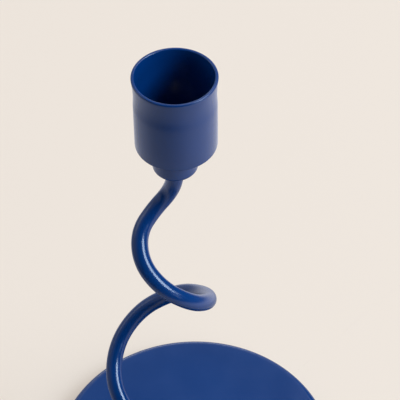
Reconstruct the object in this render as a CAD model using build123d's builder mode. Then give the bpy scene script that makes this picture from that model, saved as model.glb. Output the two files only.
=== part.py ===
from build123d import *
import os
from math import cos, pi, radians, sin, sqrt

# Spiral candle holder: a candle cup on a steel rod that is bent into one open spiral and
# bolted to a round base. Millimetres, +Z up. The origin is at the centre of the underside,
# on the surface that the holder stands on, and -Y is the front.

# Base plate, a turned steel disc
base_diameter = 100.0
base_thickness = 6.0
base_edge_radius = 3.0
base_foot_chamfer = 0.5

# Pad under the base plate
pad_thickness = 1.5
pad_inset = 4.0

# Spiral stem, one bent round rod. The height runs from the base plate to the collar, and
# the reach from the base's centre to the rod's centre line at its widest.
stem_diameter = 5.4
stem_height = 142.1
stem_reach = 27.2
stem_fall = 38.7
stem_end_chamfer = 0.4

# Collar that carries the cup on the stem's top end, left of the base's centre
collar_diameter = 14.2
collar_length = 10.6
collar_round = 2.0
collar_top_chamfer = 0.3
collar_offset = 4.05
socket_depth = 6.0
socket_clearance = 0.05

# Candle cup, with a straight bore and a slightly flared lip above a shallow waist. It sits
# off the collar's axis by the play in its screw hole.
cup_height = 27.0
cup_diameter = 25.2
cup_bore_diameter = 23.0
cup_floor = 1.2
cup_corner_radius = 0.8
cup_bore_corner_radius = 3.2
cup_shift = 0.45
lip_diameter = 25.8
lip_thickness = 0.95
lip_chamfer = 0.2
lip_flare_height = 4.9
waist_depth = 0.15
waist_below_rim = 7.0
waist_blend = 2.5

# M4 thread, used twice and drawn plain at its outside diameter
thread_diameter = 4.0
thread_clearance = 0.05
thread_chamfer = 0.4
screw_hole_clearance = 0.1

# Washer and button head screw on the floor of the cup
cup_washer_diameter = 9.0
cup_washer_thickness = 0.8
screw_head_diameter = 7.6
screw_head_height = 2.2
screw_head_rim = 0.5
screw_head_flat = 3.6
screw_engagement = 4.0
screw_key_width = 2.5
screw_key_depth = 1.3

# Spring washer and nut in the base plate's counterbore
counterbore_diameter = 13.0
spring_washer_diameter = 7.6
spring_washer_thickness = 0.9
spring_washer_slit = 0.8
nut_width = 7.0
nut_height = 3.2
nut_chamfer = 0.4
nut_recess = 0.2

# Stations down the rod's centre line: x and y as shares of the reach, z as a share of the
# height above the base plate, then the heading seen from above and the fall, in degrees
station_shares = [
    ((-0.317, 0.038, 0.890), 191.9, 51.1),
    ((-0.580, -0.277, 0.817), 270.0, stem_fall),
    ((-0.186, -0.646, 0.723), 360.0, stem_fall),
    ((0.207, -0.195, 0.609), 450.0, stem_fall),
    ((-0.480, 0.539, 0.437), 540.0, stem_fall),
    ((-1.000, -0.003, 0.306), 630.0, stem_fall),
    ((-0.393, -0.575, 0.175), 720.0, stem_fall),
    ((0.016, -0.295, 0.094), 790.2, 41.1),
]

# Heights, axes and fits that follow from the sizes
base_top = pad_thickness + base_thickness
collar_bottom = base_top + stem_height
collar_top = collar_bottom + collar_length
cup_rim = collar_top + cup_height
collar_x = -collar_offset
cup_x = collar_x + cup_shift
thread_radius = thread_diameter / 2
thread_hole_radius = thread_radius + thread_clearance
screw_seat = collar_top + cup_floor + cup_washer_thickness
counterbore_depth = nut_recess + nut_height + spring_washer_thickness
counterbore_roof = pad_thickness + counterbore_depth

os.makedirs("parts", exist_ok=True)


def direction(heading, fall):
    """Unit vector at a heading from +X, seen from above, that falls below level."""
    level = cos(radians(fall))
    return Vector(cos(radians(heading)) * level, sin(radians(heading)) * level, -sin(radians(fall)))


def meeting_point(start, start_way, end, end_way):
    """Where two arcs from start to end meet, and the direction that they share there."""
    chord = end - start
    ways = start_way + end_way
    spread = 2 * (1 - start_way.dot(end_way))
    along = chord.dot(ways)
    handle = (sqrt(along**2 + spread * chord.dot(chord)) - along) / spread
    start_handle = start + start_way * handle
    end_handle = end - end_way * handle
    return (start_handle + end_handle) / 2, end_handle - start_handle


def least_gap(path, diameter, apart):
    """Least gap between stretches of a round rod that lie at least this far apart along it."""
    step = diameter / 4
    points = path.positions([step * i for i in range(int(path.length / step))], PositionMode.LENGTH)
    skip = round(apart / step)
    pairs = [(a, b) for i, a in enumerate(points) for b in points[i + skip :]]
    return min((a - b).length for a, b in pairs) - diameter


# Base plate: rounded top edge, broken lower edge, and a hole with a counterbore from below
with BuildPart() as base_plate:
    with BuildSketch(Plane.XY.offset(pad_thickness)):
        Circle(base_diameter / 2)
    extrude(amount=base_thickness)
    fillet(base_plate.edges().group_by(Axis.Z)[-1], radius=base_edge_radius)
    chamfer(base_plate.edges().group_by(Axis.Z)[0], length=base_foot_chamfer)
    with Locations(Plane((0, 0, pad_thickness), z_dir=(0, 0, -1))):
        CounterBoreHole(
            radius=thread_hole_radius,
            counter_bore_radius=counterbore_diameter / 2,
            counter_bore_depth=counterbore_depth,
            depth=base_thickness,
        )

# Spiral stem: from its seat in the collar, down through the stations on pairs of arcs, to a
# square foot on the base plate, where a turned-down threaded end goes on through the plate
rod_top = Vector(collar_x, 0, collar_bottom + socket_depth)
stations = [(Vector(collar_x, 0, collar_bottom), Vector(0, 0, -1))]
for (x_share, y_share, z_share), heading, fall in station_shares:
    place = Vector(x_share * stem_reach, y_share * stem_reach, base_top + z_share * stem_height)
    stations.append((place, direction(heading, fall)))
stations.append((Vector(0, 0, base_top), Vector(0, 0, -1)))

with BuildPart() as spiral_stem:
    with BuildLine() as stem_line:
        Line(rod_top, stations[0][0])
        for (start, start_way), (end, end_way) in zip(stations, stations[1:]):
            meeting, meeting_way = meeting_point(start, start_way, end, end_way)
            TangentArc(start, meeting, tangent=start_way)
            TangentArc(meeting, end, tangent=meeting_way)
    with BuildSketch(Plane(rod_top, z_dir=(0, 0, -1))):
        Circle(stem_diameter / 2)
    sweep()
    bent_volume = spiral_stem.part.volume
    chamfer(spiral_stem.edges().group_by(Axis.Z)[-1], length=stem_end_chamfer)
    with BuildSketch(Plane((0, 0, base_top), z_dir=(0, 0, -1))):
        Circle(thread_radius)
    extrude(amount=base_thickness - nut_recess)
    chamfer(spiral_stem.edges().group_by(Axis.Z)[0], length=thread_chamfer)

# Collar: a turned boss with the rod's socket from below and a tapped hole from above
with BuildPart() as stem_collar:
    with BuildSketch(Plane((collar_x, 0, collar_bottom))):
        Circle(collar_diameter / 2)
    extrude(amount=collar_length)
    fillet(stem_collar.edges().group_by(Axis.Z)[0], radius=collar_round)
    chamfer(stem_collar.edges().group_by(Axis.Z)[-1], length=collar_top_chamfer)
    with Locations(Plane((collar_x, 0, collar_bottom), z_dir=(0, 0, -1))):
        CounterBoreHole(
            radius=thread_hole_radius,
            counter_bore_radius=stem_diameter / 2 + socket_clearance,
            counter_bore_depth=socket_depth,
            depth=collar_length,
        )

# Candle cup: a turned profile in the X-Z plane, spun round the cup's own axis
cup_radius = cup_diameter / 2
bore_radius = cup_bore_diameter / 2
lip_radius = lip_diameter / 2
waist_radius = cup_radius - waist_depth
cup_hole_radius = thread_radius + cup_shift + screw_hole_clearance
waist_height = cup_height - waist_below_rim
flare_height = cup_height - lip_flare_height
lip_inner_radius = lip_radius - lip_thickness
lip_edge_height = cup_height - lip_chamfer
with BuildPart() as candle_cup:
    with BuildSketch(Plane((cup_x, 0, collar_top), x_dir=(1, 0, 0), z_dir=(0, -1, 0))):
        with BuildLine():
            Line((cup_hole_radius, 0), (cup_radius - cup_corner_radius, 0))
            TangentArc(
                (cup_radius - cup_corner_radius, 0), (cup_radius, cup_corner_radius), tangent=(1, 0)
            )
            Line((cup_radius, cup_corner_radius), (cup_radius, waist_height - waist_blend))
            blend = TangentArc(
                (cup_radius, waist_height - waist_blend),
                ((cup_radius + waist_radius) / 2, waist_height - waist_blend / 2),
                tangent=(0, 1),
            )
            TangentArc(blend @ 1, (waist_radius, waist_height), tangent=blend % 1)
            TangentArc((waist_radius, waist_height), (lip_radius, lip_edge_height), tangent=(0, 1))
            Line((lip_radius, lip_edge_height), (lip_radius - lip_chamfer, cup_height))
            Line((lip_radius - lip_chamfer, cup_height), (lip_inner_radius + lip_chamfer, cup_height))
            Line((lip_inner_radius + lip_chamfer, cup_height), (lip_inner_radius, lip_edge_height))
            TangentArc(
                (bore_radius, flare_height), (lip_inner_radius, lip_edge_height), tangent=(0, 1)
            )
            Line((bore_radius, flare_height), (bore_radius, cup_floor + cup_bore_corner_radius))
            TangentArc(
                (bore_radius, cup_floor + cup_bore_corner_radius),
                (bore_radius - cup_bore_corner_radius, cup_floor),
                tangent=(0, -1),
            )
            Line((bore_radius - cup_bore_corner_radius, cup_floor), (cup_hole_radius, cup_floor))
            Line((cup_hole_radius, cup_floor), (cup_hole_radius, 0))
        make_face()
    revolve(axis=Axis((cup_x, 0, 0), (0, 0, 1)))

# Washer on the cup's floor
with BuildPart() as cup_washer:
    with BuildSketch(Plane((collar_x, 0, collar_top + cup_floor))):
        Circle(cup_washer_diameter / 2)
        Circle(thread_hole_radius, mode=Mode.SUBTRACT)
    extrude(amount=cup_washer_thickness)

# Button head screw: a head with a hexagon socket, domed round a point on its axis, and a
# shank into the collar
head_radius = screw_head_diameter / 2
head_flat_radius = screw_head_flat / 2
dome_centre = (
    head_flat_radius**2 + screw_head_height**2 - head_radius**2 - screw_head_rim**2
) / (2 * (screw_head_height - screw_head_rim))
shank_tip = screw_seat - cup_washer_thickness - cup_floor - screw_engagement
with BuildPart() as cup_screw:
    with BuildSketch(Plane((collar_x, 0, screw_seat), x_dir=(1, 0, 0), z_dir=(0, -1, 0))):
        with BuildLine():
            Line((0, 0), (head_radius, 0))
            Line((head_radius, 0), (head_radius, screw_head_rim))
            TangentArc(
                (head_radius, screw_head_rim),
                (head_flat_radius, screw_head_height),
                tangent=(dome_centre - screw_head_rim, head_radius),
            )
            Line((head_flat_radius, screw_head_height), (0, screw_head_height))
            Line((0, screw_head_height), (0, 0))
        make_face()
    revolve(axis=Axis((collar_x, 0, 0), (0, 0, 1)))
    with BuildSketch(Plane((collar_x, 0, screw_seat + screw_head_height))):
        RegularPolygon(screw_key_width / 2, side_count=6, major_radius=False)
    extrude(amount=-screw_key_depth, mode=Mode.SUBTRACT)
    with BuildSketch(Plane((collar_x, 0, shank_tip))):
        Circle(thread_radius)
    extrude(amount=screw_seat - shank_tip)
    chamfer(cup_screw.edges().group_by(Axis.Z)[0], length=thread_chamfer)

# Spring washer: a flat ring with a slit, up against the counterbore's roof
with BuildPart() as base_washer:
    with BuildSketch(Plane.XY.offset(counterbore_roof)):
        Circle(spring_washer_diameter / 2)
        Circle(thread_hole_radius, mode=Mode.SUBTRACT)
        with Locations((spring_washer_diameter / 2, 0)):
            Rectangle(spring_washer_diameter, spring_washer_slit, mode=Mode.SUBTRACT)
    extrude(amount=-spring_washer_thickness)

# Hexagon nut, its corners turned off at both ends
nut_top = counterbore_roof - spring_washer_thickness
with BuildPart() as base_nut:
    with BuildSketch(Plane.XY.offset(nut_top)):
        Circle(nut_width / sqrt(3))
    extrude(amount=-nut_height)
    chamfer(base_nut.edges().filter_by(GeomType.CIRCLE), length=nut_chamfer)
    with BuildSketch(Plane.XY.offset(nut_top)):
        RegularPolygon(nut_width / 2, side_count=6, major_radius=False)
    extrude(amount=-nut_height, mode=Mode.INTERSECT)
    with BuildSketch(Plane.XY.offset(nut_top)):
        Circle(thread_hole_radius)
    extrude(amount=-nut_height, mode=Mode.SUBTRACT)

# Pad: a soft disc glued under the base plate, over the counterbore
with BuildPart() as base_pad:
    with BuildSketch(Plane.XY):
        Circle(base_diameter / 2 - pad_inset)
    extrude(amount=pad_thickness)

candle_cup.part.label = "candle_cup"
cup_washer.part.label = "cup_washer"
cup_screw.part.label = "cup_screw"
stem_collar.part.label = "stem_collar"
spiral_stem.part.label = "spiral_stem"
base_plate.part.label = "base_plate"
base_washer.part.label = "base_washer"
base_nut.part.label = "base_nut"
base_pad.part.label = "base_pad"

export_step(candle_cup.part, "parts/candle_cup.step")
export_step(cup_washer.part, "parts/cup_washer.step")
export_step(cup_screw.part, "parts/cup_screw.step")
export_step(stem_collar.part, "parts/stem_collar.step")
export_step(spiral_stem.part, "parts/spiral_stem.step")
export_step(base_plate.part, "parts/base_plate.step")
export_step(base_washer.part, "parts/base_washer.step")
export_step(base_nut.part, "parts/base_nut.step")
export_step(base_pad.part, "parts/base_pad.step")

stem_path = stem_line.wire()
bend_radii = [edge.radius for edge in stem_path.edges() if edge.geom_type == GeomType.CIRCLE]
print(f"rod length {stem_path.length:.1f} mm, tightest bend {min(bend_radii):.1f} mm")
section_volume = pi * (stem_diameter / 2) ** 2 * stem_path.length
print(f"swept volume {bent_volume:.1f} mm3, section times length {section_volume:.1f} mm3")
spiral_gap = least_gap(stem_path, stem_diameter, stem_reach)
print(f"least gap of the spiral to itself {spiral_gap:.2f} mm")
print(f"overall height {cup_rim:.1f} mm")
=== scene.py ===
from math import ceil, cos, radians, sin, sqrt, tan

import bpy
from mathutils import Matrix, Vector


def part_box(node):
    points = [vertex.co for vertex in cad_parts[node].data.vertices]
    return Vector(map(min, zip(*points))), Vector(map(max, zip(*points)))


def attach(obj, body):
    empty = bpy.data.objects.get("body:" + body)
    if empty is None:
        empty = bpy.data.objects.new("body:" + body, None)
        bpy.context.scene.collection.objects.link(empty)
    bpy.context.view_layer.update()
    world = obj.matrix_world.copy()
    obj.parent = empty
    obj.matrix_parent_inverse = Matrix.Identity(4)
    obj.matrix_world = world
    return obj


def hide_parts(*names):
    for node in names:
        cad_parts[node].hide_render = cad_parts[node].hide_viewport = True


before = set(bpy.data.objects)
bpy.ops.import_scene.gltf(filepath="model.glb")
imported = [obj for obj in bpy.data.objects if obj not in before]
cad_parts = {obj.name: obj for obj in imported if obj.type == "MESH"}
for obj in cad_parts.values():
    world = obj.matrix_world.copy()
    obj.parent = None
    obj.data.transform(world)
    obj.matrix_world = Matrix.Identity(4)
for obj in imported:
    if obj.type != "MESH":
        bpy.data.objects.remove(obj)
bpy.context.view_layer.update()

# The spiral candle holder, in metres, in the frame's own axes. The cup, the collar, the bent
# rod, the base and its pad are modelled with smooth surfaces over the construction that
# carries them, and the small fasteners are the construction's own.
mm = 0.001

base_low, base_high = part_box("base_plate")
pad_low, pad_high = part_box("base_pad")
collar_low, collar_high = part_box("stem_collar")
cup_low, cup_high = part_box("candle_cup")
rod_low, rod_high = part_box("spiral_stem")

base_top = base_high[2]
washer_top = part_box("base_washer")[1][2]
collar_bottom = collar_low[2]
collar_centre = (collar_low[0] + collar_high[0]) / 2
cup_centre = (cup_low[0] + cup_high[0]) / 2

ROD_RADIUS = 2.7 * mm

# Corners of a mesh that lie nearer than this are one
WELD = 0.002 * mm

# Colours of the finishes
ENAMEL_BLUE = (0.001, 0.0405, 0.182, 1)
ENAMEL_DEEP = (0.0007, 0.0365, 0.168, 1)
ENAMEL_PALE = (0.0014, 0.0445, 0.197, 1)
ZINC_DULL = (0.48, 0.49, 0.5, 1)
ZINC_BRIGHT = (0.62, 0.63, 0.63, 1)
RUBBER_BLACK = (0.022, 0.022, 0.024, 1)
RUBBER_DUSTY = (0.05, 0.049, 0.048, 1)
# Painted shade: the darker colour inside the rubber's pores
RUBBER_PORE_SHADE = (0.008, 0.008, 0.009, 1)

# Colours of the floor, the room and the lamps
BLACK = (0, 0, 0, 1)
BACKDROP_BEIGE = (0.84, 0.775, 0.708, 1)
PAPER_BEIGE = (0.883, 0.797, 0.714, 1)
PAPER_BOUNCE = (0.7, 0.66, 0.63, 1)
PAPER_IN_GLOSS = (1, 1, 1.08, 1)
SOFTBOX_WHITE = (0.79, 1, 1.2)
WINDOW_WHITE = (1, 1.03, 1.08)
PLAIN_WHITE = (1, 1, 1)
ROOM_GLOW = (*WINDOW_WHITE, 1)
ROOM_IN_GLOSS = (0.9, 0.86, 0.82, 1)


class Signal:
    """What comes out of a shader node, so that sums on it read as plain expressions."""

    def __init__(self, shader, socket):
        self.shader = shader
        self.socket = socket

    def maths(self, operation, first, second):
        return self.shader.node("ShaderNodeMath", {"operation": operation}, {0: first, 1: second})

    def __add__(self, other):
        return self.maths("ADD", self, other)

    def __radd__(self, other):
        return self.maths("ADD", other, self)

    def __sub__(self, other):
        return self.maths("SUBTRACT", self, other)

    def __rsub__(self, other):
        return self.maths("SUBTRACT", other, self)

    def __mul__(self, other):
        return self.maths("MULTIPLY", self, other)

    def __rmul__(self, other):
        return self.maths("MULTIPLY", other, self)


class Shader:
    """An emptied node tree, of a material or the world, that is filled node by node."""

    def __init__(self, owner):
        owner.use_nodes = True
        self.tree = owner.node_tree
        self.tree.nodes.clear()

    def node(self, kind, settings=None, inputs=None, output=0):
        """Add a node: its settings come first, then the values or links of its sockets."""
        made = self.tree.nodes.new(kind)
        for name, value in (settings or {}).items():
            if name == "stops":
                while len(made.color_ramp.elements) < len(value):
                    made.color_ramp.elements.new(0.5)
                for element, (position, shade) in zip(made.color_ramp.elements, value):
                    element.position = position
                    element.color = (shade, shade, shade, 1)
            else:
                setattr(made, name, value)
        for name, value in (inputs or {}).items():
            if isinstance(value, Signal):
                self.tree.links.new(value.socket, made.inputs[name])
            else:
                made.inputs[name].default_value = value
        return Signal(self, made.outputs[output]) if made.outputs else None

    def blend(self, amount, first, second):
        """Mix two colours."""
        return self.node(
            "ShaderNodeMix",
            {"data_type": "RGBA", "clamp_factor": True},
            {0: amount, 6: first, 7: second},
            output=2,
        )

    def dim(self, colour, level):
        """Bring a colour down towards black, where a level of 1 keeps it."""
        return self.blend(level, BLACK, colour)

    def noise(self, place, scale, detail=2.0, roughness=0.5):
        """A cloudy value from 0 to 1, with so many clouds to the metre."""
        return self.node(
            "ShaderNodeTexNoise",
            {"noise_dimensions": "3D"},
            {"Vector": place, "Scale": scale, "Detail": detail, "Roughness": roughness},
        )

    def ramp(self, value, *stops):
        """Shade a value by stops of (position, grey)."""
        return self.node("ShaderNodeValToRGB", {"stops": stops}, {0: value})

    def along(self, place, direction):
        """How far a place reaches from the origin along a direction."""
        return self.node(
            "ShaderNodeVectorMath",
            {"operation": "DOT_PRODUCT"},
            {0: place, 1: tuple(direction)},
            output="Value",
        )

    def onlookers(self):
        """Whether the camera looks here, and whether gloss or glass does."""
        rays = ("Is Camera Ray", "Is Glossy Ray", "Is Transmission Ray")
        camera, gloss, glass = [self.node("ShaderNodeLightPath", output=ray) for ray in rays]
        return camera, gloss + glass

    def skin(self, colour, roughness, relief, strength, depth, **steady):
        """End a material in a surface with a fine relief. What stays the same all over it
        follows under the names of its sockets."""
        bump = self.node(
            "ShaderNodeBump", {}, {"Strength": strength, "Distance": depth, "Height": relief}
        )
        inputs = {"Base Color": colour, "Roughness": roughness, "Normal": bump, **steady}
        surface = self.node("ShaderNodeBsdfPrincipled", {}, inputs)
        self.node("ShaderNodeOutputMaterial", {}, {"Surface": surface})


# Finishes
def blue_enamel_finish():
    """Deep blue stoved enamel: a faint cloudiness of thickness, orange peel, soft smudges."""
    material = bpy.data.materials.new("deep blue stoved enamel")
    enamel = Shader(material)
    place = enamel.node("ShaderNodeTexCoord", output="Object")
    clouds = enamel.ramp(enamel.noise(place, scale=45, detail=3), (0.3, 0), (0.7, 1))
    grain = enamel.ramp(enamel.noise(place, scale=1600, detail=2), (0.35, 0), (0.75, 1))
    smudges = enamel.noise(place, scale=90, detail=4, roughness=0.6)
    smudges = enamel.ramp(smudges, (0.4, 0), (0.75, 1))
    wide_peel = enamel.noise(place, scale=620, detail=2, roughness=0.4)
    fine_peel = enamel.noise(place, scale=2400, detail=1)
    peel = wide_peel + fine_peel * 0.25
    colour = enamel.blend(clouds, ENAMEL_DEEP, ENAMEL_PALE)
    colour = enamel.blend(grain * 0.35, colour, ENAMEL_BLUE)
    roughness = 0.18 + smudges * 0.05 + grain * 0.02
    enamel.skin(colour, roughness, peel, strength=0.07, depth=0.02 * mm, IOR=1.5)
    return material


def zinc_steel_finish():
    """Zinc-plated steel: fine brushing, dull clouds and a slightly uneven bluish plating."""
    material = bpy.data.materials.new("zinc-plated steel")
    zinc = Shader(material)
    place = zinc.node("ShaderNodeTexCoord", output="Object")
    streaked = zinc.node("ShaderNodeMapping", {}, {"Vector": place, "Scale": (1, 1, 9)})
    brushing = zinc.noise(streaked, scale=1500, detail=3, roughness=0.7)
    clouds = zinc.ramp(zinc.noise(place, scale=420, detail=3), (0.3, 0), (0.7, 1))
    colour = zinc.blend(clouds, ZINC_DULL, ZINC_BRIGHT)
    roughness = 0.28 + brushing * 0.16 + clouds * 0.06
    zinc.skin(colour, roughness, brushing, strength=0.25, depth=0.01 * mm, Metallic=1.0)
    return material


def pad_rubber_finish():
    """Black foamed rubber: a matt skin with fine pores, painted darker inside as shade, and a
    dusty bloom.
    """
    material = bpy.data.materials.new("black foamed rubber")
    rubber = Shader(material)
    place = rubber.node("ShaderNodeTexCoord", output="Object")
    pores = rubber.node(
        "ShaderNodeTexVoronoi", {"feature": "F1"}, {"Vector": place, "Scale": 1500.0}
    )
    pits = rubber.ramp(pores, (0.1, 0), (0.55, 1))
    bloom = rubber.noise(place, scale=70, detail=4, roughness=0.6)
    bloom = rubber.ramp(bloom, (0.35, 0), (0.8, 1))
    colour = rubber.blend(bloom, RUBBER_BLACK, RUBBER_DUSTY)
    # The pits serve as the relief and as painted shade, darker inside the pores
    colour = rubber.blend(pits, RUBBER_PORE_SHADE, colour)
    roughness = 0.72 + bloom * 0.15
    rubber.skin(colour, roughness, pits, strength=0.5, depth=0.08 * mm)
    return material


# Ways of modelling
def arc(centre, radius, start, end, step=9):
    """Points round part of a circle, from one angle to another by steps, in degrees."""
    count = max(2, ceil(abs(end - start) / step))
    turns = [radians(start + (end - start) * i / count) for i in range(count + 1)]
    return [(centre[0] + radius * cos(turn), centre[1] + radius * sin(turn)) for turn in turns]


def swell(start, end, count):
    """Points after start on an arc that leaves it upright and runs out or in to end."""
    across = end[0] - start[0]
    along = end[1] - start[1]
    radius = (across**2 + along**2) / (2 * across)
    side = 1 if radius > 0 else -1
    points = []
    for i in range(1, count + 1):
        height = along * i / count
        offset = radius - side * sqrt(radius**2 - height**2)
        points.append((start[0] + offset, start[1] + height))
    return points


def way(heading, fall):
    """Direction at a heading, which turns anticlockwise from the x axis as seen from above, and
    at a fall below level, in degrees."""
    turn, drop = radians(heading), radians(fall)
    return Vector((cos(turn) * cos(drop), sin(turn) * cos(drop), -sin(drop)))


def draw_rings(extrude, centre, start, rings):
    """Extrude what is selected, from a start through rings of (radius, height), about an
    upright axis at this centre."""
    radius, height = start
    for next_radius, next_height in rings:
        extrude(TRANSFORM_OT_translate={"value": (0, 0, next_height - height)})
        scale = next_radius / radius
        bpy.ops.transform.resize(
            value=(scale, scale, 1), center_override=(centre, 0, next_height)
        )
        radius, height = next_radius, next_height


def turned(name, centre, profile, sides, hollow=True):
    """Turn a profile of (radius, height) points round an upright axis, ring by ring. A hollow
    piece's profile closes on itself, and a solid piece's starts and ends on the axis."""
    bpy.ops.object.select_all(action="DESELECT")
    radius, height = profile[0]
    bpy.ops.mesh.primitive_circle_add(
        vertices=sides, radius=radius, location=(centre, 0, height)
    )
    piece = bpy.context.object
    piece.name = name
    bpy.ops.object.mode_set(mode="EDIT")
    bpy.ops.mesh.select_all(action="SELECT")
    rings = profile[1:] + (profile[:1] if hollow else [])
    draw_rings(bpy.ops.mesh.extrude_edges_move, centre, profile[0], rings)
    finish_mesh(sharp_angle=35)
    return piece


def finish_mesh(sharp_angle):
    """Close the seams of the mesh in edit mode, turn its faces outwards and smooth it, except
    across edges that turn by more than this angle, in degrees."""
    bpy.ops.mesh.select_all(action="SELECT")
    bpy.ops.mesh.remove_doubles(threshold=WELD)
    bpy.ops.mesh.normals_make_consistent(inside=False)
    bpy.ops.object.mode_set(mode="OBJECT")
    bpy.ops.object.transform_apply(location=True, rotation=True, scale=True)
    bpy.ops.object.shade_smooth_by_angle(angle=radians(sharp_angle))


def cover(piece, node, finish):
    """Let a piece stand for a node of the construction, with the finish given."""
    piece.data.materials.clear()
    piece.data.materials.append(finish)
    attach(piece, "root")
    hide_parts(node)


# Camera
def photograph_camera():
    """The camera at the photograph's place, tilt and lens."""
    place = Vector((3.342 * mm, -394.29 * mm, 543.16 * mm))
    pitch = radians(45.982)
    roll = radians(-0.791)
    forward = Vector((0, cos(pitch), -sin(pitch)))
    level = Vector((1, 0, 0))
    upright = level.cross(forward)
    right = cos(roll) * level + sin(roll) * upright
    up = cos(roll) * upright - sin(roll) * level
    data = bpy.data.cameras.new("photograph camera")
    data.sensor_fit = "HORIZONTAL"
    data.sensor_width = 36
    data.lens = 163.58
    data.clip_start = 0.01
    camera = bpy.data.objects.new("photograph camera", data)
    bpy.context.scene.collection.objects.link(camera)
    turn = Matrix((right, up, -forward)).transposed().to_4x4()
    camera.matrix_world = Matrix.Translation(place) @ turn
    bpy.context.scene.camera = camera


# Turned pieces
def round_base():
    """A disc with a rounded upper edge, a broken lower edge and a counterbore."""
    radius = (base_high[0] - base_low[0]) / 2
    top, bottom = base_top, base_low[2]
    edge = 3 * mm
    lower_edge = 0.5 * mm
    hole = 2.05 * mm
    hole_break = 0.15 * mm
    recess = 6.5 * mm
    recess_break = 0.2 * mm
    recess_roof = washer_top
    top_rings = (6 * mm, 14 * mm, 26 * mm, 38 * mm)
    bottom_ring = 30 * mm
    profile = [(hole, recess_roof), (hole, top - hole_break), (hole + hole_break, top)]
    profile += [(ring, top) for ring in top_rings]
    profile += arc((radius - edge, top - edge), edge, 90, 0, step=6)
    profile += arc((radius - lower_edge, bottom + lower_edge), lower_edge, 0, -90, step=15)
    profile += [(bottom_ring, bottom), (recess + recess_break, bottom)]
    profile += [(recess, bottom + recess_break), (recess, recess_roof)]
    return turned("round_base", 0, profile, sides=256)


def foam_pad():
    """A soft disc, rounded over at its cut edges. Its first and last rings close into poles."""
    radius = (pad_high[0] - pad_low[0]) / 2
    bottom, top = pad_low[2], pad_high[2]
    edge = 0.35 * mm
    rings = (0.0005 * mm, 12 * mm, 30 * mm)
    profile = [(ring, bottom) for ring in rings]
    profile += arc((radius - edge, bottom + edge), edge, -90, 0, step=22.5)
    profile += arc((radius - edge, top - edge), edge, 0, 90, step=22.5)
    profile += [(ring, top) for ring in reversed(rings)]
    return turned("foam_pad", 0, profile, sides=192, hollow=False)


def round_collar():
    """A boss with a rounded lower edge, a socket for the rod and a tapped hole."""
    radius = (collar_high[0] - collar_low[0]) / 2
    top, bottom = collar_high[2], collar_bottom
    lower_edge = 2 * mm
    upper_edge = 0.3 * mm
    tapped_hole = 2.05 * mm
    socket = ROD_RADIUS + 0.05 * mm
    socket_depth = 6 * mm
    socket_end = bottom + socket_depth
    profile = [(tapped_hole, top), (tapped_hole, socket_end)]
    profile += [(socket, socket_end), (socket, bottom)]
    profile += arc((radius - lower_edge, bottom + lower_edge), lower_edge, -90, 0, step=7.5)
    profile += arc((radius - upper_edge, top - upper_edge), upper_edge, 0, 90, step=18)
    return turned("round_collar", collar_centre, profile, sides=160)


def taper_cup():
    """A straight wall over a screw hole, a shallow waist, a flared and rounded lip, and a bore
    with a rounded floor."""
    bottom, rim = cup_low[2], cup_high[2]
    lip = (cup_high[0] - cup_low[0]) / 2
    lip_inner = lip - 1.04 * mm
    outer_round = 0.42 * mm
    inner_round = 0.38 * mm
    wall = 12.6 * mm
    wall_rings = (bottom + 6 * mm, bottom + 12 * mm)
    waist = 12.45 * mm
    waist_height = rim - 7 * mm
    blend = 4.6 * mm
    blend_start = (wall, waist_height - blend)
    blend_middle = ((wall + waist) / 2, waist_height - blend / 2)
    blend_end = (waist, waist_height)
    bore = 11.5 * mm
    bore_floor = bottom + 1.2 * mm
    floor_round = 3.2 * mm
    flare_start = (bore, rim - 4.9 * mm)
    screw_hole = 2.55 * mm
    underside_ring = 7 * mm
    foot_round = 0.8 * mm
    profile = [(screw_hole, bore_floor), (screw_hole, bottom), (underside_ring, bottom)]
    profile += arc((wall - foot_round, bottom + foot_round), foot_round, -90, 0)
    profile += [(wall, height) for height in wall_rings] + [blend_start]
    profile += swell(blend_start, blend_middle, count=3)
    profile += swell(blend_end, blend_middle, count=3)[-2::-1] + [blend_end]
    profile += swell(blend_end, (lip, rim - outer_round), count=8)
    profile += arc((lip - outer_round, rim - outer_round), outer_round, 0, 90, step=15)[1:]
    profile += arc((lip_inner + inner_round, rim - inner_round), inner_round, 90, 180, step=15)
    profile += swell(flare_start, (lip_inner, rim - inner_round), count=8)[-2::-1]
    profile += [flare_start, (bore, wall_rings[-1])]
    profile += arc((bore - floor_round, bore_floor + floor_round), floor_round, 0, -90, step=6)
    return turned("taper_cup", cup_centre, profile, sides=192)


# The bent rod. Each station has its place, in shares of the spiral's reach across and of the
# rise from the base to the collar, then the rod's heading and fall there, in degrees.
REACH = 27.2 * mm
RISE = collar_bottom - base_top
STATIONS = [
    ((-0.317, 0.038, 0.890), 191.9, 51.1),
    ((-0.580, -0.277, 0.817), 270.0, 36.7),
    ((-0.186, -0.646, 0.723), 360.0, 38.7),
    ((0.207, -0.195, 0.609), 450.0, 38.7),
    ((-0.480, 0.539, 0.437), 540.0, 38.7),
    ((-1.000, -0.003, 0.306), 630.0, 32.7),
    ((-0.393, -0.575, 0.175), 720.0, 38.7),
    ((0.016, -0.295, 0.094), 790.2, 41.1),
]
SEAT_CHAMFER = 0.4 * mm

# The thread on the rod's foot. It starts and ends this far from the ends of the foot, and one
# turn is given as rings: how far out from the root, in depths of the thread, and how far down,
# in pitches.
THREAD_RADIUS = 2 * mm
THREAD_DEPTH = 0.38 * mm
THREAD_PITCH = 0.7 * mm
THREAD_START = 0.5 * mm
THREAD_END = 0.4 * mm
THREAD_TURN = ((0, 0), (1, 0.3), (1, 0.45), (0, 0.85))


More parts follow.
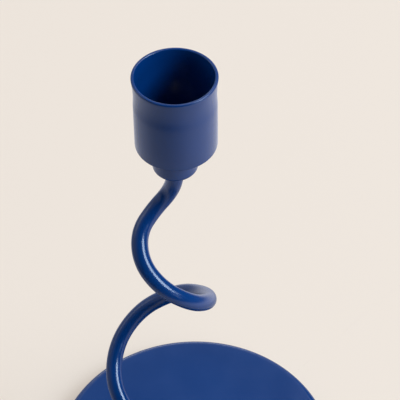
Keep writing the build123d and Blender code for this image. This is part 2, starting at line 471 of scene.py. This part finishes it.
def bent_line():
    """Places along the rod's centre line where one bend goes over into the next, with the
    rod's direction there, from its seat in the collar down to the base plate."""
    down = Vector((0, 0, -1))
    seat = (Vector((collar_centre, 0, rod_high[2] - SEAT_CHAMFER)), down)
    stations = [(Vector((collar_centre, 0, collar_bottom)), down)]
    for (x_share, y_share, z_share), heading, fall in STATIONS:
        place = Vector((x_share * REACH, y_share * REACH, base_top + z_share * RISE))
        stations.append((place, way(heading, fall)))
    stations.append((Vector((0, 0, base_top)), down))
    line = [seat, stations[0]]
    for (start, start_way), (end, end_way) in zip(stations, stations[1:]):
        chord = end - start
        ways = start_way + end_way
        spread = 2 * (1 - start_way.dot(end_way))
        along = chord.dot(ways)
        handle = (sqrt(along**2 + spread * chord.dot(chord)) - along) / spread
        first = start + start_way * handle
        last = end - end_way * handle
        line.append(((first + last) / 2, (last - first).normalized()))
        line.append((end, end_way))
    return line


def bent_curve(line):
    """A round curve that bends in an arc from each place on the line to the next."""
    bpy.ops.object.select_all(action="DESELECT")
    bpy.ops.curve.primitive_bezier_curve_add(location=(0, 0, 0))
    curve = bpy.context.object
    shape = curve.data
    shape.dimensions = "3D"
    shape.resolution_u = 20
    shape.bevel_depth = ROD_RADIUS
    shape.bevel_resolution = 22
    shape.use_fill_caps = True
    shape.twist_mode = "MINIMUM"
    points = shape.splines[0].bezier_points
    points.add(len(line) - len(points))
    for point, (place, heading) in zip(points, line):
        point.co = place
        point.handle_left_type = "FREE"
        point.handle_right_type = "FREE"
        point.handle_left = place - heading * mm
        point.handle_right = place + heading * mm
        point.radius = 1
        point.tilt = 0
    nearly_straight = 0.001
    for index, ((start, start_way), (end, end_way)) in enumerate(zip(line, line[1:])):
        turn = start_way.angle(end_way)
        chord = (end - start).length
        reach = chord / 3
        if turn > nearly_straight:
            reach = 4 / 3 * tan(turn / 4) * chord / (2 * sin(turn / 2))
        points[index].handle_right = start + start_way * reach
        points[index + 1].handle_left = end - end_way * reach
    return curve


def end_rings(piece, level, centre, rings):
    """Draw the rod's flat end at this level out through rings of (radius, height)."""
    flat_within = 0.01 * mm
    bpy.ops.object.mode_set(mode="EDIT")
    bpy.ops.mesh.select_mode(type="FACE")
    bpy.ops.mesh.select_all(action="DESELECT")
    bpy.ops.object.mode_set(mode="OBJECT")
    corners = piece.data.vertices
    for face in piece.data.polygons:
        face.select = all(abs(corners[i].co.z - level) < flat_within for i in face.vertices)
    bpy.ops.object.mode_set(mode="EDIT")
    draw_rings(bpy.ops.mesh.extrude_region_move, centre, (ROD_RADIUS, level), rings)
    bpy.ops.object.mode_set(mode="OBJECT")


def spiral_rod():
    """The bent rod with its straight seat and its threaded foot."""
    curve = bent_curve(bent_line())
    curve.name = "spiral_rod"
    bpy.ops.object.convert(target="MESH")
    rod = bpy.context.object
    bpy.ops.object.mode_set(mode="EDIT")
    bpy.ops.mesh.select_all(action="SELECT")
    bpy.ops.mesh.remove_doubles(threshold=WELD)
    bpy.ops.object.mode_set(mode="OBJECT")

    seat_top = rod_high[2]
    seat = [(ROD_RADIUS - SEAT_CHAMFER, seat_top)]
    end_rings(rod, seat_top - SEAT_CHAMFER, collar_centre, seat)

    foot_end = rod_low[2]
    end_break = 0.2 * mm
    shoulder = ROD_RADIUS - 0.25 * mm
    root = THREAD_RADIUS - THREAD_DEPTH
    foot = [(shoulder, base_top), (root, base_top)]
    height = base_top - THREAD_START
    while height - THREAD_PITCH > foot_end + THREAD_END:
        for out, down in THREAD_TURN:
            foot.append((root + out * THREAD_DEPTH, height - down * THREAD_PITCH))
        height -= THREAD_PITCH
    foot += [(root, foot_end + end_break), (root - end_break, foot_end)]
    end_rings(rod, base_top, 0, foot)

    bpy.ops.object.mode_set(mode="EDIT")
    finish_mesh(sharp_angle=40)
    return rod


# The camera, the finishes and the pieces are made
photograph_camera()
enamel = blue_enamel_finish()
zinc = zinc_steel_finish()
rubber = pad_rubber_finish()

cover(round_base(), "base_plate", enamel)
cover(foam_pad(), "base_pad", rubber)
cover(round_collar(), "stem_collar", enamel)
cover(taper_cup(), "candle_cup", enamel)
cover(spiral_rod(), "spiral_stem", enamel)

# The fasteners keep the construction's own solids
for fastener in ("cup_washer", "cup_screw", "base_washer", "base_nut"):
    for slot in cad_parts[fastener].material_slots:
        slot.material = zinc


# Floor, room and lamps
def pale_floor():
    """A plain pale floor. The camera sees a soft shadow at the left of the base. Where the
    holder's gloss looks at the floor, it dims away from the holder, to the left and to the
    front, and is a little paler again far off at the back left."""
    bpy.ops.object.select_all(action="DESELECT")
    bpy.ops.mesh.primitive_plane_add(size=24, location=(0, 0, 0))
    floor = bpy.context.object
    floor.name = "pale_floor"
    material = bpy.data.materials.new("pale floor")
    paper = Shader(material)

    shadow_reach = 60 * mm
    shadow_depth = 0.95
    lit_share = 0.25
    lean = paper.node("ShaderNodeCombineXYZ", {}, {"X": 0.66, "Y": 0.42, "Z": 0.62})
    open_side = paper.node(
        "ShaderNodeAmbientOcclusion",
        {"samples": 16},
        {"Distance": shadow_reach, "Normal": lean},
        output="AO",
    )
    shaded = paper.dim(PAPER_BEIGE, 1 - (1 - open_side) * shadow_depth)
    plain = paper.node("ShaderNodeEmission", {}, {"Color": shaded, "Strength": 1.0})
    lit = paper.node("ShaderNodeBsdfDiffuse", {}, {"Color": PAPER_BEIGE})
    face = paper.node("ShaderNodeMixShader", {}, {0: lit_share, 1: plain, 2: lit})

    place = paper.node("ShaderNodeTexCoord", output="Object")
    away = paper.node("ShaderNodeVectorMath", {"operation": "LENGTH"}, {0: place}, output="Value")
    spread = paper.ramp(
        away, (0, 0.5), (0.12, 0.6), (0.16, 1), (0.33, 0.9), (0.5, 0.12), (0.9, 0.04)
    )
    to_front = paper.along(place, (-0.42, -0.91, 0))
    front = paper.ramp(to_front, (0.1, 1), (0.15, 0.82), (0.2, 0.72), (0.27, 0.15))
    side = paper.along(place, (1.1, 0.2, 0)) * 0.8 + 0.72
    far_left = paper.ramp(paper.along(place, (-0.77, 0.64, 0)), (0.35, 0), (0.8, 0.4))
    tint = paper.dim(PAPER_IN_GLOSS, spread * front * side + far_left)
    mirrored = paper.node("ShaderNodeEmission", {}, {"Color": tint, "Strength": 1.15})
    bounce = paper.node("ShaderNodeBsdfDiffuse", {}, {"Color": PAPER_BOUNCE})

    camera, gloss = paper.onlookers()
    surface = paper.node("ShaderNodeMixShader", {}, {0: gloss, 1: bounce, 2: mirrored})
    surface = paper.node("ShaderNodeMixShader", {}, {0: camera, 1: surface, 2: face})
    paper.node("ShaderNodeOutputMaterial", {}, {"Surface": surface})
    floor.data.materials.append(material)


def dim_room():
    """A dim room: a soft glow low down at the left and behind, and dark at the front."""
    world = bpy.data.worlds.new("dim room")
    bpy.context.scene.world = world
    room = Shader(world)
    place = room.node("ShaderNodeTexCoord", output="Generated")
    brightest = way(148, -16)
    glow = room.along(place, brightest) * 0.5 + 0.5
    height = room.node("ShaderNodeSeparateXYZ", {}, {0: place}, output="Z")
    low_down = room.ramp(height, (0, 1), (0.3, 0.62), (1, 0.5))
    level = room.ramp(glow, (0.5, 0.03), (0.64, 0.1), (0.78, 0.5), (0.9, 0.62)) * low_down
    camera, gloss = room.onlookers()
    shown = room.blend(gloss, room.dim(ROOM_GLOW, level), room.dim(ROOM_IN_GLOSS, level))
    shown = room.blend(camera, shown, BACKDROP_BEIGE)
    background = room.node("ShaderNodeBackground", {}, {"Color": shown, "Strength": 1.0})
    room.node("ShaderNodeOutputWorld", {}, {"Surface": background})


# Each lamp has its name, its heading and angle above level in degrees, its width and height in
# metres, its power, colour and outline. All look at the middle of the holder from one distance.
LAMP_DISTANCE = 1.6
LAMP_TARGET = Vector((0, 0, 0.09))
LAMPS = [
    ("front softbox", -19, 39, (0.9, 0.68), 17.8, SOFTBOX_WHITE, "ELLIPSE"),
    ("low window", -42, 13, (0.42, 0.3), 0.7, SOFTBOX_WHITE, "RECTANGLE"),
    ("back softbox", 38, 59, (1.3, 1.1), 11.2, PLAIN_WHITE, "RECTANGLE"),
    ("back window", 90, 23, (1.5, 1.2), 2.4, WINDOW_WHITE, "RECTANGLE"),
    ("back strip", 95, 6, (1.0, 0.3), 1.9, WINDOW_WHITE, "RECTANGLE"),
    ("left window", 162, 33, (0.9, 0.9), 2.7, WINDOW_WHITE, "RECTANGLE"),
]


def soft_lamp(name, azimuth, elevation, size, power, colour, outline):
    """A lamp that looks at the holder through a wide soft front."""
    data = bpy.data.lights.new(name, "AREA")
    data.shape = outline
    data.size, data.size_y = size
    data.energy = power
    data.color = colour
    lamp = bpy.data.objects.new(name, data)
    bpy.context.scene.collection.objects.link(lamp)
    outward = way(azimuth, -elevation)
    lamp.location = LAMP_TARGET + outward * LAMP_DISTANCE
    lamp.rotation_euler = outward.to_track_quat("Z", "Y").to_euler()
    lamp.visible_camera = False


pale_floor()
dim_room()
for lamp in LAMPS:
    soft_lamp(*lamp)

bpy.context.scene.view_settings.view_transform = "Standard"
